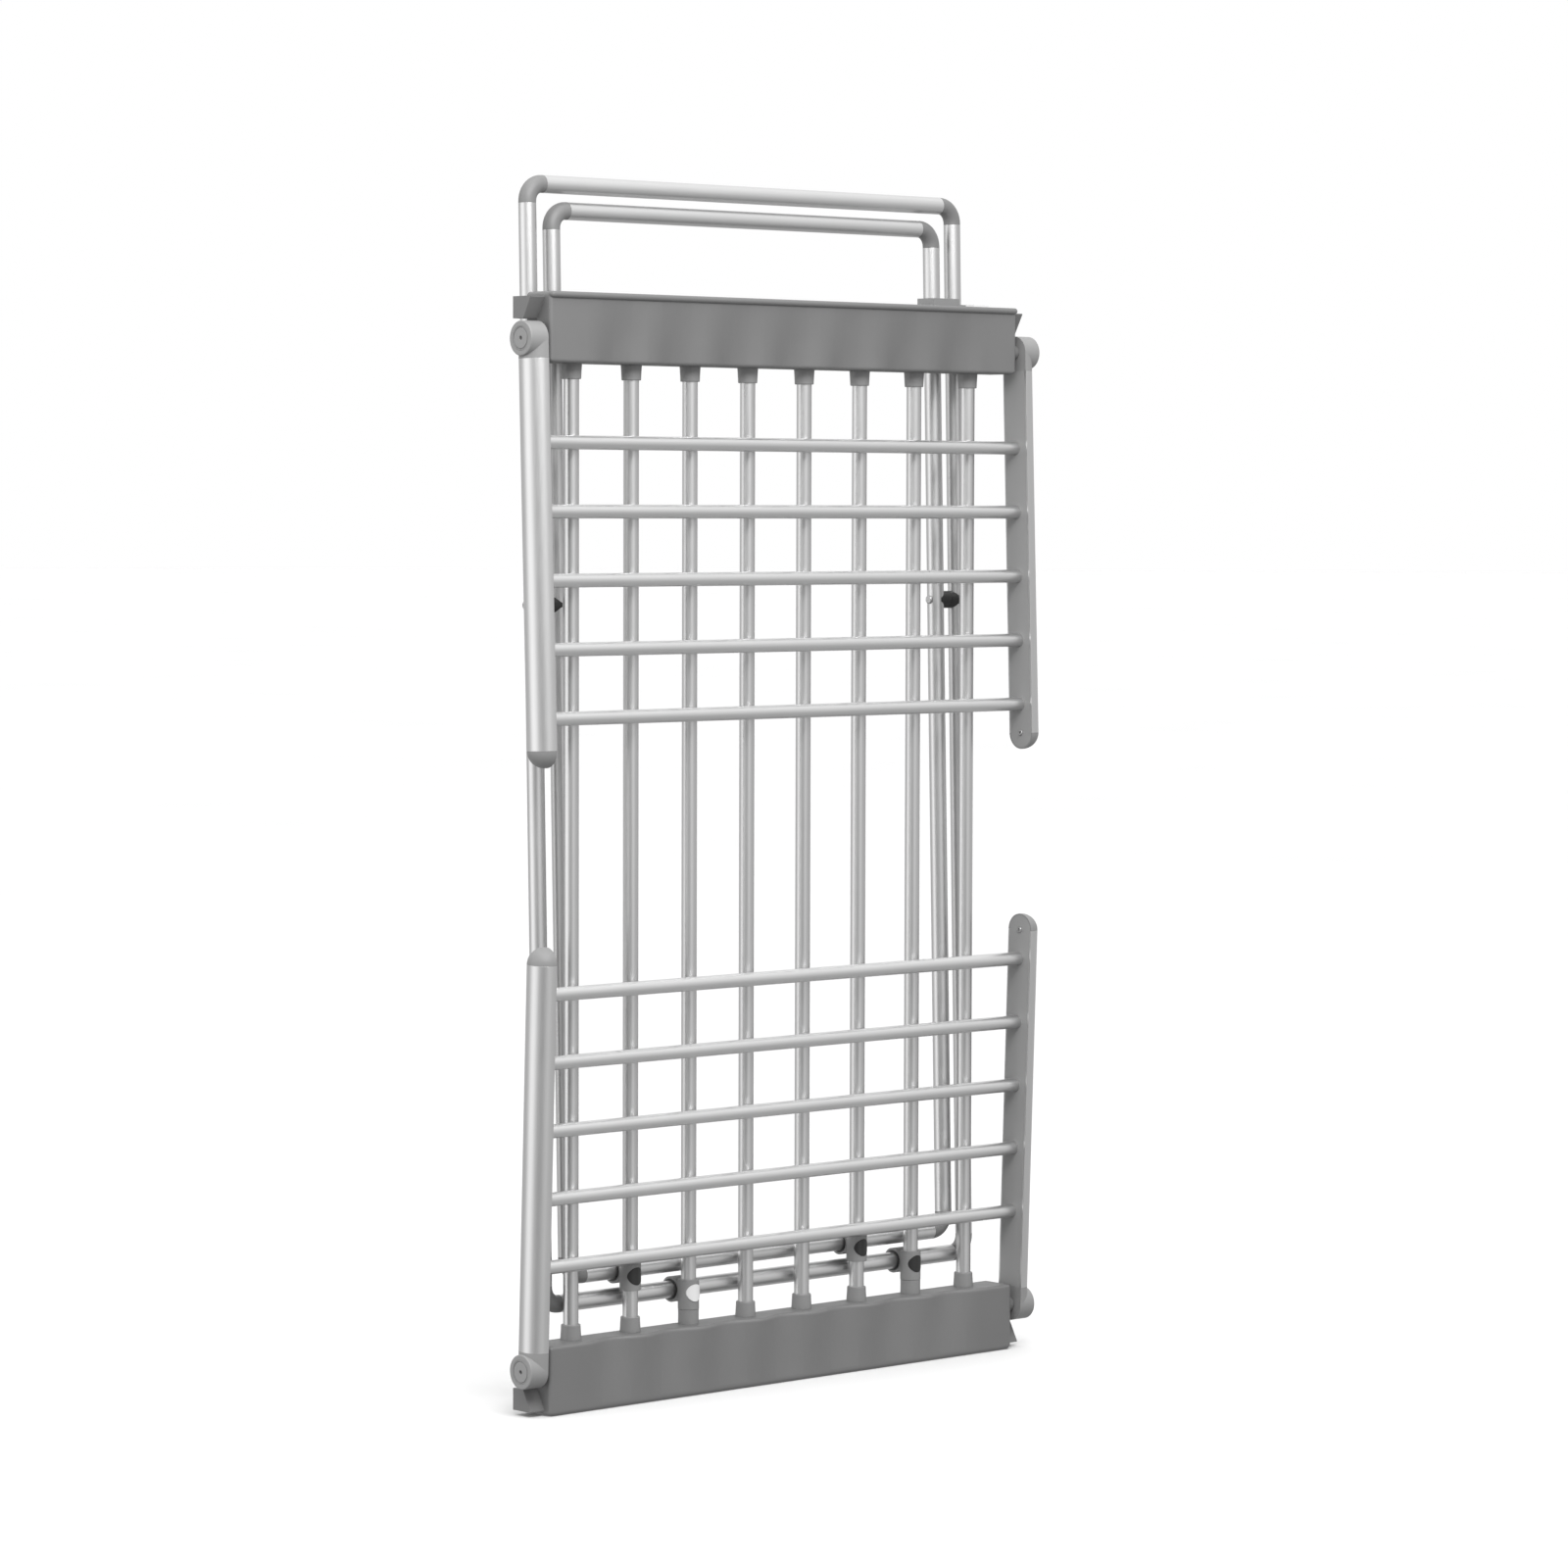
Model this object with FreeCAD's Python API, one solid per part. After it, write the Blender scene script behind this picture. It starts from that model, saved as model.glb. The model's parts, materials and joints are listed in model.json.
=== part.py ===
import FreeCAD, Part
import math
import os

# Free-standing winged clothes airer, folded flat and standing on its lower end head.
# Millimetres. X runs along the width, +Y to the rear, +Z up. The origin is the middle of the
# lower head's base. Every piece is its own solid in its own node.

os.makedirs("parts", exist_ok=True)

# ---- driving dimensions --------------------------------------------------------------
HEIGHT = 1000.0              # over the two end heads, folded
HEAD_HALF = 286.0            # half the length of an end head
HEAD_DEPTH = 33.0
HEAD_TALL = 62.8
HEAD_WALL = 2.5
FRONT = -HEAD_DEPTH / 2
REAR = HEAD_DEPTH / 2
LIP_TALL = 5.8               # rounded lip along the upper head's outer edge
LIP_PROUD = 3.0
CORNER = 3.0                 # rounding of the head's front corners and inner edge
OUTER_ROUND = 4.0            # rounding of the head's outer edge
WAVE = 9.0                   # depth of the hollows between the rods at the inner edge

ROD_COUNT = 8
ROD_PITCH = 69.6
ROD_R = 7.0
ROD_WALL = 0.8
ROD_Y = 6.5
ROD_SOCKET_Z = 40.0          # where a rod ends inside its ferrule
FERRULE_R = 9.6              # at the head
FERRULE_END_R = 8.8          # at the free end
FERRULE_TALL = 13.7
SPIGOT_R = 7.9               # ferrule's spigot inside the head

COVER_THICK = 2.0
COVER_GAP = 0.2
SCREW_R = 3.0
SCREW_BOSS_R = 4.0

PIVOT_Y = -6.5               # wing hinge
PIVOT_Z = 42.0
PIVOT_GAP = 6.7              # head end to the arm's inner face
FIN_OUT = 16.0               # wing stop: how far it stands out from the head's end
FIN_TALL = 24.0
FIN_START = 4.5              # its lowest point above the head's outer edge
FIN_FOOT_Y = -8.0            # front of the stop at its bottom and at its top
FIN_TOP_Y = 2.0

BOSS_R = 15.6
BOSS_PROUD = 1.8
BOLT_R = 4.0
BOLT_HEAD_R = 6.5
RUNNING = 0.06               # radial clearance of a running fit

ARM_IN = HEAD_HALF + PIVOT_GAP
ARM_HALF = 15.5              # half the arm's depth, and the radius of its rounded outside
ARM_FLAT = 2.0               # straight part of the section before the rounding
ARM_WALL = 1.6
ARM_OUT = ARM_IN + ARM_FLAT + ARM_HALF
ARM_START = 17.7             # metal starts this far from the pivot
ARM_END = 363.5
ARM_TIP = ARM_END + ARM_HALF
STRIP_THICK = 2.4
WING_LEAN = 1.9              # degrees the wings lean forward when folded
WING_ROD_COUNT = 5
WING_ROD_FIRST = 91.0
WING_ROD_PITCH = 61.2
WING_ROD_R = 6.25
WING_ROD_WALL = 1.0
WING_ROD_BACK = 0.7          # rods sit behind the arm's middle plane
WING_ROD_END = 299.0

LEG_R = 8.0
LEG_WALL = 0.75
BEND_R = 16.0
ELBOW_LEG = 17.5             # corner point to the end of an elbow
OUTER_X = 261.0
INNER_X = 233.6
BAR_Y = 24.0                 # lower bars, on which the legs turn
OUTER_BAR_Z = 93.0
INNER_BAR_Z = 117.0
CROSS_Y = 38.9               # where the two leg frames cross
CROSS_Z = 722.0
OUTER_LEN = 1005.3
INNER_LEN = 958.3
SPACER_R = 8.25
SPACER_GAP = 0.4

SLEEVE_R = 9.75
JAW_R = 11.8
JAW_HALF = 7.0
LINER_WALL = 1.6
BUTTON_R = 8.0
BUTTON_GAP = 0.15
BUTTON_PROUD = 0.2
BUTTON_Z = 92.0
SLIDER_BUTTON_Z = 114.0
FIXED_SLEEVE = (HEAD_TALL + FERRULE_TALL, 103.7)
SLIDING_SLEEVE = (100.8, 126.0)
FIXED_RODS = (2, 6)          # rods counted from 0 on the left
SLIDING_RODS = (1, 5)
LOCK_TRAVEL = 0.9
LOCK_PROUD = 0.6

FAR = 40.0                   # overrun of a cutting tool


# ---- small tools ---------------------------------------------------------------------
def vec(x, y, z):
    return FreeCAD.Vector(x, y, z)


AXIS_X = vec(1, 0, 0)
AXIS_Y = vec(0, 1, 0)
AXIS_Z = vec(0, 0, 1)


def box(x0, x1, y0, y1, z0, z1):
    return Part.makeBox(x1 - x0, y1 - y0, z1 - z0, vec(x0, y0, z0))


def along_x(x0, x1, y, z, radius):
    return Part.makeCylinder(radius, x1 - x0, vec(x0, y, z), AXIS_X)


def along_y(y0, y1, x, z, radius):
    return Part.makeCylinder(radius, y1 - y0, vec(x, y0, z), AXIS_Y)


def along_z(z0, z1, x, y, radius):
    return Part.makeCylinder(radius, z1 - z0, vec(x, y, z0), AXIS_Z)


def pipe_x(x0, x1, y, z, radius, wall):
    return along_x(x0, x1, y, z, radius).cut(along_x(x0 - 1, x1 + 1, y, z, radius - wall))


def pipe_z(z0, z1, x, y, radius, wall):
    return along_z(z0, z1, x, y, radius).cut(along_z(z0 - 1, z1 + 1, x, y, radius - wall))


def joined(shapes):
    """One solid out of overlapping ones."""
    whole = shapes[0].fuse(shapes[1:]).removeSplitter()
    return whole.Solids[0] if len(whole.Solids) == 1 else whole


def mirror_x(shape):
    return shape.mirror(vec(0, 0, 0), AXIS_X)


def mirror_top(shape):
    """The same piece at the upper head."""
    return shape.mirror(vec(0, 0, HEIGHT / 2), AXIS_Z)


def turned(shape, centre, axis, degrees):
    copy = shape.copy()
    copy.rotate(centre, axis, degrees)
    return copy


def save(name, shapes):
    """Write one node, whose pieces stay separate solids."""
    solids = [solid for shape in shapes for solid in shape.Solids]
    for solid in solids:
        if not solid.isValid() or solid.Volume <= 0:
            raise RuntimeError("bad solid in " + name)
    node = solids[0] if len(solids) == 1 else Part.makeCompound(solids)
    node.exportStep("parts/" + name + ".step")
    print(name, len(solids), "solids", round(sum(solid.Volume for solid in solids) / 1000, 1), "cm3")


def rod_x(index):
    return (index - (ROD_COUNT - 1) / 2) * ROD_PITCH


# ---- end heads -----------------------------------------------------------------------
FIRST_ROD = rod_x(0)
LAST_ROD = rod_x(ROD_COUNT - 1)
QUARTER = ROD_PITCH / 4
QUARTER_STEPS = 4


def hollow(x):
    """0 in front of a rod, 1 halfway between two rods."""
    return 0.5 - 0.5 * math.cos(2 * math.pi * (x - FIRST_ROD) / ROD_PITCH)


def hollow_slope(x):
    return math.pi / ROD_PITCH * math.sin(2 * math.pi * (x - FIRST_ROD) / ROD_PITCH)


def wave_edges(z, front, depth):
    """The wavy front from the first rod to the last, one edge for each quarter wave."""
    edges = []
    for piece in range(4 * (ROD_COUNT - 1)):
        start = FIRST_ROD + piece * QUARTER
        places = [start + QUARTER * step / QUARTER_STEPS for step in range(QUARTER_STEPS + 1)]
        curve = Part.BSplineCurve()
        curve.interpolate([vec(x, front + depth * hollow(x), z) for x in places],
                          InitialTangent=vec(1, depth * hollow_slope(places[0]), 0),
                          FinalTangent=vec(1, depth * hollow_slope(places[-1]), 0))
        edges.append(curve.toShape())
    return edges


def head_section(z, share, inset, end_inset):
    """Closed outline of the head at height z: wavy in front, flat at the rear."""
    half = HEAD_HALF - end_inset
    front = FRONT + inset
    slope = CORNER * (1 - math.sqrt(0.5))
    left_corner = Part.Arc(vec(-half, front + CORNER, z), vec(-half + slope, front + slope, z),
                           vec(-half + CORNER, front, z))
    right_corner = Part.Arc(vec(half - CORNER, front, z), vec(half - slope, front + slope, z),
                            vec(half, front + CORNER, z))
    edges = [
        Part.makeLine(vec(-half, REAR, z), vec(-half, front + CORNER, z)),
        left_corner.toShape(),
        Part.makeLine(vec(-half + CORNER, front, z), vec(FIRST_ROD, front, z)),
        *wave_edges(z, front, WAVE * share),
        Part.makeLine(vec(LAST_ROD, front, z), vec(half - CORNER, front, z)),
        right_corner.toShape(),
        Part.makeLine(vec(half, front + CORNER, z), vec(half, REAR, z)),
        Part.makeLine(vec(half, REAR, z), vec(-half, REAR, z)),
    ]
    return Part.Wire(edges)


def fade(z):
    """The waves grow evenly from nothing at the lip to their full depth at the inner edge."""
    return max(0.0, (z - LIP_TALL) / (HEAD_TALL - LIP_TALL))


def rounded_edge(start, depth, outward, front_share):
    """Loft from z = start whose sides pull in by a quarter circle of radius depth."""
    sections = []
    for degrees in (0, 20, 40, 60, 80):
        rise = depth * math.sin(math.radians(degrees))
        inset = depth * (1 - math.cos(math.radians(degrees)))
        z = start + outward * rise
        sections.append(head_section(z, fade(z), inset * front_share, inset))
    last = Part.Face(sections[-1])
    left_over = depth * (1 - math.sin(math.radians(80)))
    return [Part.makeLoft(sections, True, True), last.extrude(vec(0, 0, outward * left_over))]


def head_body(has_lip):
    """Outside of a head, without stops. The outer edge is at z = 0."""
    inner_start = HEAD_TALL - CORNER
    low = Part.makeLoft([head_section(OUTER_ROUND, 0, 0, 0), head_section(LIP_TALL, 0, 0, 0)], True, True)
    main = Part.makeLoft([head_section(LIP_TALL, 0, 0, 0),
                          head_section(inner_start, fade(inner_start), 0, 0)], True, True)
    pieces = [low, main]
    pieces += rounded_edge(inner_start, CORNER, 1, 1)
    pieces += rounded_edge(OUTER_ROUND, OUTER_ROUND, -1, 0 if has_lip else 1)
    if has_lip:
        nose_r = LIP_TALL / 2
        nose_y = FRONT - LIP_PROUD + nose_r
        end = HEAD_HALF - nose_r
        pieces.append(along_x(-end, end, nose_y, nose_r, nose_r))
        pieces.append(box(-end, end, nose_y, FRONT + CORNER, 0, LIP_TALL))
        for x in (-end, end):
            pieces.append(Part.makeSphere(nose_r, vec(x, nose_y, nose_r)))
            pieces.append(along_y(nose_y, FRONT + CORNER, x, nose_r, nose_r))
    return joined(pieces)


def head_cavity():
    """Inside of a head, open to the rear."""
    top = HEAD_TALL - HEAD_WALL
    inner = Part.makeLoft([head_section(LIP_TALL, 0, HEAD_WALL, HEAD_WALL),
                           head_section(top, fade(top), HEAD_WALL, HEAD_WALL)], True, True)
    foot = Part.Face(head_section(HEAD_WALL, 0, HEAD_WALL, HEAD_WALL)).extrude(
        vec(0, 0, LIP_TALL - HEAD_WALL))
    return joined([inner, foot])


def wall_y(x, z):
    """Front surface of the head at x and z."""
    between = hollow(x) if FIRST_ROD < x < LAST_ROD else 0
    return FRONT + WAVE * fade(z) * between


SCREW_SPOTS = [(index * 2 * ROD_PITCH, 30.0) for index in (-1, 0, 1)]
SCREW_SPOTS += [(side * (HEAD_HALF - 12.0), 14.0) for side in (-1, 1)]
COVER_Y = REAR - COVER_THICK


def fin():
    """Wing stop at the right end: its slanted front carries the opened wing's arm."""
    outline = [(REAR, FIN_START), (FIN_FOOT_Y, FIN_START), (FIN_FOOT_Y, FIN_START + 1),
               (FIN_TOP_Y, FIN_TALL), (REAR, FIN_TALL)]
    points = [vec(HEAD_HALF - HEAD_WALL, y, z) for y, z in outline]
    face = Part.Face(Part.makePolygon(points + points[:1]))
    return face.extrude(vec(FIN_OUT + HEAD_WALL, 0, 0))


def head_shell(has_lip):
    """Hollow moulding, shown at the lower head; the upper one is its mirror image with a lip."""
    shell = head_body(has_lip).cut(head_cavity())
    bosses = [along_y(wall_y(x, z) + 1, COVER_Y, x, z, SCREW_BOSS_R) for x, z in SCREW_SPOTS]
    for side in (-1, 1):
        start = HEAD_HALF - 18.0
        boss = along_x(start, HEAD_HALF - 1, PIVOT_Y, PIVOT_Z, 7.5)
        collar = along_x(HEAD_HALF - 1, ARM_IN - 0.2, PIVOT_Y, PIVOT_Z, 7.0)
        web = box(start, HEAD_HALF - 1, FRONT + 1, PIVOT_Y, PIVOT_Z - 1.2, PIVOT_Z + 1.2)
        stop = fin()
        for piece in (boss, collar, web, stop):
            bosses.append(piece if side > 0 else mirror_x(piece))
    shell = joined([shell] + bosses)
    for index in range(ROD_COUNT):
        shell = shell.cut(along_z(HEAD_TALL - HEAD_WALL - 1, HEAD_TALL + 1, rod_x(index), ROD_Y, SPIGOT_R))
    for x, z in SCREW_SPOTS:
        shell = shell.cut(along_y(0, COVER_Y + 1, x, z, 1.5))
    for side in (-1, 1):
        hole = along_x(HEAD_HALF - 16, ARM_IN, PIVOT_Y, PIVOT_Z, 3.0)
        seat = along_x(HEAD_HALF, ARM_IN, PIVOT_Y, PIVOT_Z, BOLT_R)
        for tool in (hole, seat):
            shell = shell.cut(tool if side > 0 else mirror_x(tool))
    return shell


def head_cover():
    """Rear cover plate, with two shallow ribs and countersunk screw holes."""
    half = HEAD_HALF - HEAD_WALL - COVER_GAP
    low = HEAD_WALL + COVER_GAP
    high = HEAD_TALL - HEAD_WALL - COVER_GAP
    plate = box(-half, half, COVER_Y, REAR, low, high)
    for z in (low + 8, high - 8):
        plate = plate.cut(box(-half + 24, half - 24, REAR - 0.7, REAR + 1, z - 1, z + 1))
    for x, z in SCREW_SPOTS:
        plate = plate.cut(along_y(COVER_Y - 1, REAR + 1, x, z, 1.6))
        plate = plate.cut(Part.makeCone(1.6, SCREW_R + 0.1, 1.5, vec(x, REAR - 1.5, z), AXIS_Y))
    return plate


def head_screws():
    screws = []
    for x, z in SCREW_SPOTS:
        shank = along_y(2.0, REAR - 1.5, x, z, 1.5)
        top = Part.makeCone(1.5, SCREW_R, 1.5, vec(x, REAR - 1.5, z), AXIS_Y)
        cross = [box(x - 1.8, x + 1.8, REAR - 0.8, REAR + 1, z - 0.35, z + 0.35),
                 box(x - 0.35, x + 0.35, REAR - 0.8, REAR + 1, z - 1.8, z + 1.8)]
        screws.append(joined([shank, top]).cut(joined(cross)))
    return screws


def ferrule(index, end_r):
    """Socket that holds a rod's end: collar outside the head, closed spigot inside."""
    x = rod_x(index)
    collar = Part.makeCone(FERRULE_R, end_r, FERRULE_TALL, vec(x, ROD_Y, HEAD_TALL), AXIS_Z)
    collar = collar.makeFillet(0.8, [edge for edge in collar.Edges
                                     if edge.Closed and edge.CenterOfMass.z > HEAD_TALL + 1])
    spigot = along_z(ROD_SOCKET_Z - 2, HEAD_TALL + 1, x, ROD_Y, SPIGOT_R)
    socket = along_z(ROD_SOCKET_Z, HEAD_TALL + FERRULE_TALL + 1, x, ROD_Y, ROD_R)
    return joined([collar, spigot]).cut(socket)


def top_pad():
    """Small light pad near the right end of the upper head's outer edge."""
    pad = box(239, 258, -7, 4, HEIGHT, HEIGHT + 4)
    return pad.makeFillet(1.5, [edge for edge in pad.Edges if edge.CenterOfMass.z > HEIGHT + 3.9])


# ---- leg catch -----------------------------------------------------------------------
def leg_point(bar_z, length, share):
    """Point on a leg's centre line, from its lower bar at 0 to its foot bar at 1."""
    lean = math.atan2(CROSS_Y - BAR_Y, CROSS_Z - bar_z)
    return BAR_Y + length * share * math.sin(lean), bar_z + length * share * math.cos(lean)


CATCH_LEFT = 25.0            # how far the catch reaches to the left of the tube's centre
CATCH_RIGHT = 17.0
CATCH_LOW = HEIGHT - 16.0
CATCH_ROOT = HEIGHT - 40.0
CATCH_STEP = HEIGHT + 3.0
CATCH_TOP = HEIGHT + 9.0
CATCH_ROOT_THICK = 4.0
GROOVE_R = LEG_R + 0.7


def leg_catch():
    """Saddle behind the upper head in which the inner leg's right tube rests, open to the rear."""
    y_low, z_low = leg_point(INNER_BAR_Z, INNER_LEN, 0)
    y_high, z_high = leg_point(INNER_BAR_Z, INNER_LEN, 1)
    lean = math.atan2(y_high - y_low, z_high - z_low)
    tube_y = y_low + (HEIGHT - z_low) * math.tan(lean)
    left = INNER_X - CATCH_LEFT
    right = INNER_X + CATCH_RIGHT
    base = box(left, right, REAR, tube_y - 4, CATCH_LOW, CATCH_STEP)
    upper = box(INNER_X - CATCH_RIGHT, right, REAR + 9, tube_y + 2, CATCH_LOW, CATCH_TOP)
    root = box(left, right, REAR, REAR + CATCH_ROOT_THICK, CATCH_ROOT, CATCH_STEP)
    saddle = joined([base, upper, root])
    groove = along_z(-FAR, HEIGHT, INNER_X, BAR_Y, GROOVE_R)
    mouth = box(INNER_X - GROOVE_R, INNER_X + GROOVE_R, BAR_Y, BAR_Y + FAR, -FAR, HEIGHT)
    tool = joined([groove, mouth])
    tool.translate(vec(0, 0, INNER_BAR_Z))
    tool = turned(tool, vec(0, BAR_Y, INNER_BAR_Z), AXIS_X, -math.degrees(lean))
    slot = box(INNER_X - 5, INNER_X + 5, tube_y - 19, tube_y - 15, CATCH_STEP + 1, CATCH_TOP + 1)
    return saddle.cut(tool).cut(slot)


def catch_screws():
    """Heads of the two screws below the saddle."""
    z = HEIGHT - 30.0
    face = REAR + CATCH_ROOT_THICK
    screws = []
    for x in (INNER_X - 20, INNER_X + 12):
        top = along_y(face, face + 2, x, z, SCREW_R)
        slot = box(x - 2.2, x + 2.2, face + 1.2, face + 3, z - 0.4, z + 0.4)
        screws.append(top.cut(slot))
    return screws


# ---- wings (the lower right arm is the pattern; the others are its mirror images) -----
def d_prism(inset, start, end):
    """The arm's D-shaped section, shrunk by inset, from start to end along the arm."""
    radius = ARM_HALF - inset
    x_arc = ARM_IN + ARM_FLAT
    z0 = PIVOT_Z + start
    z1 = PIVOT_Z + end
    flat = box(ARM_IN, x_arc, PIVOT_Y - radius, PIVOT_Y + radius, z0, z1)
    bulge = along_z(z0, z1, x_arc, PIVOT_Y, radius)
    bulge = bulge.common(box(x_arc, x_arc + FAR, PIVOT_Y - FAR, PIVOT_Y + FAR, z0, z1))
    return joined([flat, bulge])


def stadium(radius, start, tip, x0, x1):
    """Plate along the arm whose far end is a half circle."""
    z_mid = PIVOT_Z + tip - radius
    body = box(x0, x1, PIVOT_Y - radius, PIVOT_Y + radius, PIVOT_Z + start, z_mid)
    return joined([body, along_x(x0, x1, PIVOT_Y, z_mid, radius)])


def wing_rod_places():
    """Y and Z of the wing's rods before the wing is leaned."""
    y = PIVOT_Y + WING_ROD_BACK
    return [(y, PIVOT_Z + WING_ROD_FIRST + index * WING_ROD_PITCH) for index in range(WING_ROD_COUNT)]


STRIP_HALF = ARM_HALF - ARM_WALL
STRIP_TIP = ARM_TIP - ARM_WALL
END_SCREW = ARM_TIP - ARM_HALF


def arm_profile():
    """Aluminium channel, rounded outside and open towards the rods."""
    return d_prism(0, ARM_START, ARM_END).cut(d_prism(ARM_WALL, ARM_START - 1, ARM_END + 1))


def arm_strip():
    """Flat plastic strip that closes the channel and holds the rods' ends."""
    strip = stadium(STRIP_HALF, ARM_START, STRIP_TIP, ARM_IN, ARM_IN + STRIP_THICK)
    for y, z in wing_rod_places():
        strip = strip.cut(along_x(ARM_IN - 1, ARM_IN + 5, y, z, WING_ROD_R))
    return strip.cut(along_x(ARM_IN - 1, ARM_IN + 5, PIVOT_Y, PIVOT_Z + END_SCREW, 1.5))


def arm_end_cap():
    """Plastic cap, domed like a quarter of a ball, with a plug inside the channel."""
    x_arc = ARM_IN + ARM_FLAT
    middle = PIVOT_Z + ARM_TIP - ARM_HALF
    ball = Part.makeSphere(ARM_HALF, vec(x_arc, PIVOT_Y, middle))
    ball = ball.common(box(x_arc, x_arc + FAR, -FAR, FAR, middle, middle + FAR))
    edge = along_x(ARM_IN, x_arc, PIVOT_Y, middle, ARM_HALF)
    dome = joined([ball, edge.common(box(ARM_IN, x_arc, -FAR, FAR, middle, middle + FAR))])
    plug = d_prism(ARM_WALL + 0.05, ARM_END - 14, ARM_END + 1)
    cap = joined([dome, plug])
    cap = cap.cut(stadium(STRIP_HALF, 0, STRIP_TIP, ARM_IN - 1, ARM_IN + STRIP_THICK))
    return cap.cut(along_x(ARM_IN, ARM_IN + 8, PIVOT_Y, PIVOT_Z + END_SCREW, 1.5))


def arm_screw():
    z = PIVOT_Z + END_SCREW
    top = along_x(ARM_IN - 1.2, ARM_IN, PIVOT_Y, z, 2.6)
    slot = box(ARM_IN - 2, ARM_IN - 0.7, PIVOT_Y - 1.8, PIVOT_Y + 1.8, z - 0.35, z + 0.35)
    return joined([top, along_x(ARM_IN, ARM_IN + 8, PIVOT_Y, z, 1.5)]).cut(slot)


BOSS_OUT = ARM_OUT + BOSS_PROUD
CAP_R = 11.0
CAP_THICK = 3.0
BOLT_SHOULDER_END = BOSS_OUT - 8.0
BOLT_HEAD_TALL = 4.0


def knuckle():
    """Round hinge boss with a neck that plugs into the channel."""
    boss = along_x(ARM_IN, BOSS_OUT, PIVOT_Y, PIVOT_Z, BOSS_R)
    rim = [edge for edge in boss.Edges if edge.Closed and edge.CenterOfMass.x > BOSS_OUT - 0.1]
    boss = boss.makeFillet(1.0, rim)
    neck = d_prism(0, 0, ARM_START)
    plug = d_prism(ARM_WALL + 0.05, ARM_START - 1, ARM_START + 24)
    plug = plug.cut(box(ARM_IN - 1, ARM_IN + STRIP_THICK + 0.1, -FAR, FAR, PIVOT_Z + ARM_START, HEIGHT))
    body = joined([boss, neck, plug])
    body = body.cut(along_x(ARM_IN - 1, BOLT_SHOULDER_END, PIVOT_Y, PIVOT_Z, BOLT_R + RUNNING))
    body = body.cut(along_x(BOLT_SHOULDER_END, BOSS_OUT, PIVOT_Y, PIVOT_Z, BOLT_HEAD_R + 0.4))
    return body.cut(along_x(BOSS_OUT - CAP_THICK, BOSS_OUT + 1, PIVOT_Y, PIVOT_Z, CAP_R))


def hinge_cap():
    """Round cap over the hinge bolt, with a hole in its middle."""
    cap = along_x(BOSS_OUT - CAP_THICK, BOSS_OUT, PIVOT_Y, PIVOT_Z, CAP_R - 0.1)
    rim = [edge for edge in cap.Edges if edge.Closed and edge.CenterOfMass.x > BOSS_OUT - 0.1]
    cap = cap.makeFillet(0.5, rim)
    return cap.cut(along_x(BOSS_OUT - FAR, BOSS_OUT + 1, PIVOT_Y, PIVOT_Z, 2.4))


def hinge_bolt():
    """Shoulder bolt fixed in the head, on which the knuckle turns."""
    thread = along_x(HEAD_HALF - 15, HEAD_HALF + 1, PIVOT_Y, PIVOT_Z, 3.0)
    shoulder = along_x(HEAD_HALF, BOLT_SHOULDER_END + 0.2, PIVOT_Y, PIVOT_Z, BOLT_R)
    head_end = BOLT_SHOULDER_END + BOLT_HEAD_TALL
    head = along_x(BOLT_SHOULDER_END + 0.2, head_end, PIVOT_Y, PIVOT_Z, BOLT_HEAD_R)
    socket = along_x(head_end - 2.2, head_end + 1, PIVOT_Y, PIVOT_Z, 2.2)
    return joined([thread, shoulder, head]).cut(socket)


def leaned(shape):
    """Lean a wing's piece forward about the lower hinge axis."""
    return turned(shape, vec(0, PIVOT_Y, PIVOT_Z), AXIS_X, WING_LEAN)


def save_wing(prefix, place):
    pair_pieces = {
        "arm_profiles": arm_profile(),
        "arm_strips": arm_strip(),
        "knuckles": knuckle(),
        "hinge_caps": hinge_cap(),
        "end_caps": arm_end_cap(),
        "end_screws": arm_screw(),
    }
    for name, piece in pair_pieces.items():
        right = leaned(piece)
        save(prefix + "_" + name, [place(right), place(mirror_x(right))])
    for index, (y, z) in enumerate(wing_rod_places()):
        rod = leaned(pipe_x(-WING_ROD_END, WING_ROD_END, y, z, WING_ROD_R, WING_ROD_WALL))
        save(prefix + "_rod_" + str(index + 1), [place(rod)])


# ---- leg frames (built upright over their lower bar, then leaned back) -----------------
PLUG_GAP = 0.05
PLUG_LONG = 18.0


def quarter_bend(radius):
    """Round bar through a right-angled bend in the XZ plane, from the origin up and to the left."""
    profile = Part.Face(Part.Wire(Part.Circle(vec(0, 0, 0), AXIS_Z, radius).toShape()))
    return profile.revolve(vec(-BEND_R, 0, 0), AXIS_Y, -90)


def elbow(corner_x, corner_z, up):
    """Plastic corner piece at the right side, with plugs inside both tubes."""
    bend = quarter_bend(LEG_R)
    straight = ELBOW_LEG - BEND_R
    plug_r = LEG_R - LEG_WALL - PLUG_GAP
    upright = along_z(-straight, 0, 0, 0, LEG_R)
    upright_plug = along_z(-straight - PLUG_LONG, 0, 0, 0, plug_r)
    level = along_x(-BEND_R - straight, -BEND_R, 0, BEND_R, LEG_R)
    level_plug = along_x(-BEND_R - straight - PLUG_LONG, -BEND_R, 0, BEND_R, plug_r)
    piece = joined([bend, upright, upright_plug, level, level_plug])
    piece.translate(vec(corner_x, 0, -BEND_R))
    if not up:
        piece = piece.mirror(vec(0, 0, 0), AXIS_Z)
    piece.translate(vec(0, 0, corner_z))
    return piece


RIVET_R = 2.5
RIVET_HEAD_R = 4.0
RIVET_HEAD_TALL = 1.8


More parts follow.
